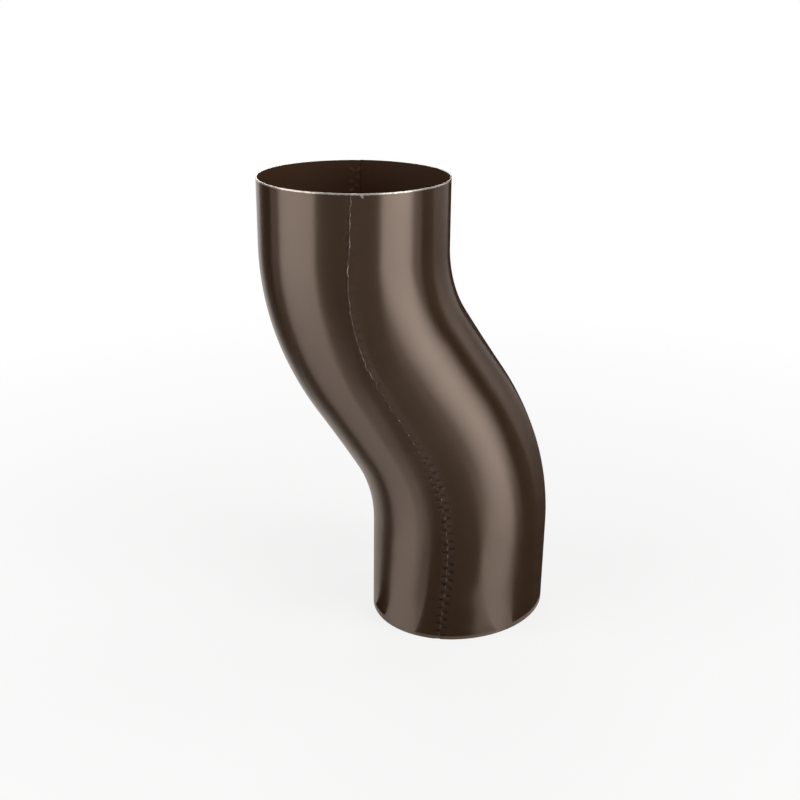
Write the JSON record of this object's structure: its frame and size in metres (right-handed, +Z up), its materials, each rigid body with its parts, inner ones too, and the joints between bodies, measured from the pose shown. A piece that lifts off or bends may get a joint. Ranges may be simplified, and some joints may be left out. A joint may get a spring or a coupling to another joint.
{
  "type": "downpipe offset bend",
  "caption": "S-shaped sheet-steel rainwater pipe bend of lapped, crimped half shells, which steps a round downpipe sideways past a plinth; socket above, spigot below.",
  "frame": {"origin": "centre of the lower end's rim, on the spigot's axis", "axes": "+Z up along the spigot's axis, +X away from the upper end, which lies towards -X; the bend is in the XZ plane and the seams face -Y and +Y"},
  "size_m": [0.1603, 0.1024, 0.248],
  "materials": {
    "coil_coated_steel": "semi-gloss dark brown coil coating on galvanised steel sheet, bare at the cut edges"
  },
  "bodies": {
    "root": {"left_half_shell": "coil_coated_steel", "right_half_shell": "coil_coated_steel"}
  },
  "joints": []
}
